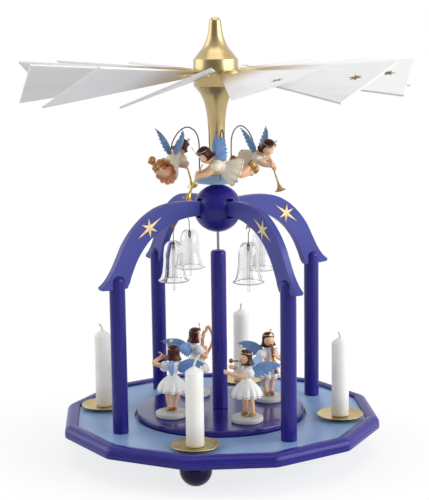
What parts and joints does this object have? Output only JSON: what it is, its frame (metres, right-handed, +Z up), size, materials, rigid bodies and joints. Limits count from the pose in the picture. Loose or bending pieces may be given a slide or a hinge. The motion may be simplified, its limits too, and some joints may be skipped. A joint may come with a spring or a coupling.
{
  "type": "candle carousel",
  "caption": "Candle carousel: candle heat turns a wheel of pitched blades that carries angels on a disc and on wires, under arches with hanging bells.",
  "frame": {"origin": "under the middle of the tray, on the surface that the feet stand on", "axes": "+Z up along the spindle, -Y toward the front foot and the front candle, +X to the right seen from the front"},
  "size_m": [0.3508, 0.3507, 0.4],
  "materials": {
    "blue_paint": "satin blue-violet paint on turned wood",
    "arch_paint": "satin blue-violet paint with gold stars",
    "floor_paint": "satin light blue paint on board",
    "gold_paint": "satin gold paint on turned wood",
    "blade_paint": "satin white paint, brass rod at the root",
    "figure_paint": "turned and carved wood, painted, with lacquered hair",
    "pan_brass": "pressed sheet, satin",
    "bush_brass": "turned, polished",
    "steel": "ground rod",
    "hook_wire": "bent wire",
    "wax": "smooth cream wax",
    "clear_bell": "clear, polished"
  },
  "bodies": {
    "stand": {"base_rim": "blue_paint", "base_floor": "floor_paint", "pivot_cup": "steel", "foot_front": "blue_paint", "foot_right": "blue_paint", "foot_left": "blue_paint", "post_front_left": "blue_paint", "post_front_right": "blue_paint", "post_rear_right": "blue_paint", "post_rear_left": "blue_paint", "arch_front_left": "arch_paint", "arch_front_right": "arch_paint", "arch_rear_right": "arch_paint", "arch_rear_left": "arch_paint", "top_ball": "blue_paint", "ball_bush": "bush_brass", "drip_pan_front": "pan_brass", "drip_pan_right": "pan_brass", "drip_pan_rear": "pan_brass", "drip_pan_left": "pan_brass"},
    "rotor": {"spindle": "steel", "turntable": "blue_paint", "column_sleeve": "blue_paint", "carrier_disc": "floor_paint", "blade_hub": "gold_paint", "angel_flute": "figure_paint", "angel_clarinet": "figure_paint", "angel_harp": "figure_paint", "angel_violin": "figure_paint", "flying_angel_1": "figure_paint", "flying_angel_2": "figure_paint", "flying_angel_3": "figure_paint"},
    "blade_01": {"blade_01": "blade_paint"},
    "blade_02": {"blade_02": "blade_paint"},
    "blade_03": {"blade_03": "blade_paint"},
    "blade_04": {"blade_04": "blade_paint"},
    "blade_05": {"blade_05": "blade_paint"},
    "blade_06": {"blade_06": "blade_paint"},
    "blade_07": {"blade_07": "blade_paint"},
    "blade_08": {"blade_08": "blade_paint"},
    "blade_09": {"blade_09": "blade_paint"},
    "blade_10": {"blade_10": "blade_paint"},
    "blade_11": {"blade_11": "blade_paint"},
    "blade_12": {"blade_12": "blade_paint"},
    "bell_front_left": {"bell_front_left": "clear_bell", "bell_hook_front_left": "hook_wire"},
    "bell_front_right": {"bell_front_right": "clear_bell", "bell_hook_front_right": "hook_wire"},
    "bell_rear_right": {"bell_rear_right": "clear_bell", "bell_hook_rear_right": "hook_wire"},
    "bell_rear_left": {"bell_rear_left": "clear_bell", "bell_hook_rear_left": "hook_wire"},
    "clapper_front_left": {"clapper_front_left": "clear_bell"},
    "clapper_front_right": {"clapper_front_right": "clear_bell"},
    "clapper_rear_right": {"clapper_rear_right": "clear_bell"},
    "clapper_rear_left": {"clapper_rear_left": "clear_bell"},
    "candle_front": {"candle_front": "wax"},
    "candle_right": {"candle_right": "wax"},
    "candle_rear": {"candle_rear": "wax"},
    "candle_left": {"candle_left": "wax"}
  },
  "joints": [
    {"name": "rotor_spin", "type": "hinge", "parent": "stand", "child": "rotor", "pos_m": [0, 0, 0.03], "axis": [0, 0, 1], "continuous": true},
    {"name": "blade_01_pitch", "type": "hinge", "parent": "rotor", "child": "blade_01", "pos_m": [0.01599, 0.00061, 0.3507], "axis": [0.9993, 0.0384, 0], "range_deg": [-20, 20]},
    {"name": "blade_02_pitch", "type": "hinge", "parent": "rotor", "child": "blade_02", "pos_m": [0.01354, 0.00853, 0.3507], "axis": [0.8462, 0.5329, 0], "range_deg": [-20, 20]},
    {"name": "blade_03_pitch", "type": "hinge", "parent": "rotor", "child": "blade_03", "pos_m": [0.00746, 0.01415, 0.3507], "axis": [0.4664, 0.8846, 0], "range_deg": [-20, 20]},
    {"name": "blade_04_pitch", "type": "hinge", "parent": "rotor", "child": "blade_04", "pos_m": [-0.00061, 0.01599, 0.3507], "axis": [-0.0384, 0.9993, 0], "range_deg": [-20, 20]},
    {"name": "blade_05_pitch", "type": "hinge", "parent": "rotor", "child": "blade_05", "pos_m": [-0.00853, 0.01354, 0.3507], "axis": [-0.5329, 0.8462, 0], "range_deg": [-20, 20]},
    {"name": "blade_06_pitch", "type": "hinge", "parent": "rotor", "child": "blade_06", "pos_m": [-0.01415, 0.00746, 0.3507], "axis": [-0.8846, 0.4664, 0], "range_deg": [-20, 20]},
    {"name": "blade_07_pitch", "type": "hinge", "parent": "rotor", "child": "blade_07", "pos_m": [-0.01599, -0.00061, 0.3507], "axis": [-0.9993, -0.0384, 0], "range_deg": [-20, 20]},
    {"name": "blade_08_pitch", "type": "hinge", "parent": "rotor", "child": "blade_08", "pos_m": [-0.01354, -0.00853, 0.3507], "axis": [-0.8462, -0.5329, 0], "range_deg": [-20, 20]},
    {"name": "blade_09_pitch", "type": "hinge", "parent": "rotor", "child": "blade_09", "pos_m": [-0.00746, -0.01415, 0.3507], "axis": [-0.4664, -0.8846, 0], "range_deg": [-20, 20]},
    {"name": "blade_10_pitch", "type": "hinge", "parent": "rotor", "child": "blade_10", "pos_m": [0.00061, -0.01599, 0.3507], "axis": [0.0384, -0.9993, 0], "range_deg": [-20, 20]},
    {"name": "blade_11_pitch", "type": "hinge", "parent": "rotor", "child": "blade_11", "pos_m": [0.00853, -0.01354, 0.3507], "axis": [0.5329, -0.8462, 0], "range_deg": [-20, 20]},
    {"name": "blade_12_pitch", "type": "hinge", "parent": "rotor", "child": "blade_12", "pos_m": [0.01415, -0.00746, 0.3507], "axis": [0.8846, -0.4664, 0], "range_deg": [-20, 20]},
    {"name": "bell_front_left_swing", "type": "hinge", "parent": "stand", "child": "bell_front_left", "pos_m": [-0.03429, -0.03429, 0.21449], "axis": [-0.7071, -0.7071, 0], "range_deg": [-15, 15]},
    {"name": "bell_front_right_swing", "type": "hinge", "parent": "stand", "child": "bell_front_right", "pos_m": [0.03429, -0.03429, 0.21449], "axis": [0.7071, -0.7071, 0], "range_deg": [-15, 15]},
    {"name": "bell_rear_right_swing", "type": "hinge", "parent": "stand", "child": "bell_rear_right", "pos_m": [0.03429, 0.03429, 0.21449], "axis": [0.7071, 0.7071, 0], "range_deg": [-15, 15]},
    {"name": "bell_rear_left_swing", "type": "hinge", "parent": "stand", "child": "bell_rear_left", "pos_m": [-0.03429, 0.03429, 0.21449], "axis": [-0.7071, 0.7071, 0], "range_deg": [-15, 15]},
    {"name": "clapper_front_left_swing", "type": "hinge", "parent": "bell_front_left", "child": "clapper_front_left", "pos_m": [-0.03429, -0.03429, 0.19509], "axis": [0.7071, -0.7071, 0], "range_deg": [-12, 12]},
    {"name": "clapper_front_right_swing", "type": "hinge", "parent": "bell_front_right", "child": "clapper_front_right", "pos_m": [0.03429, -0.03429, 0.19509], "axis": [0.7071, 0.7071, 0], "range_deg": [-12, 12]},
    {"name": "clapper_rear_right_swing", "type": "hinge", "parent": "bell_rear_right", "child": "clapper_rear_right", "pos_m": [0.03429, 0.03429, 0.19509], "axis": [-0.7071, 0.7071, 0], "range_deg": [-12, 12]},
    {"name": "clapper_rear_left_swing", "type": "hinge", "parent": "bell_rear_left", "child": "clapper_rear_left", "pos_m": [-0.03429, 0.03429, 0.19509], "axis": [-0.7071, -0.7071, 0], "range_deg": [-12, 12]},
    {"name": "candle_front_lift", "type": "slide", "parent": "stand", "child": "candle_front", "axis": [0, 0, 1], "range_m": [0, 0.02]},
    {"name": "candle_right_lift", "type": "slide", "parent": "stand", "child": "candle_right", "axis": [0, 0, 1], "range_m": [0, 0.02]},
    {"name": "candle_rear_lift", "type": "slide", "parent": "stand", "child": "candle_rear", "axis": [0, 0, 1], "range_m": [0, 0.02]},
    {"name": "candle_left_lift", "type": "slide", "parent": "stand", "child": "candle_left", "axis": [0, 0, 1], "range_m": [0, 0.02]}
  ]
}
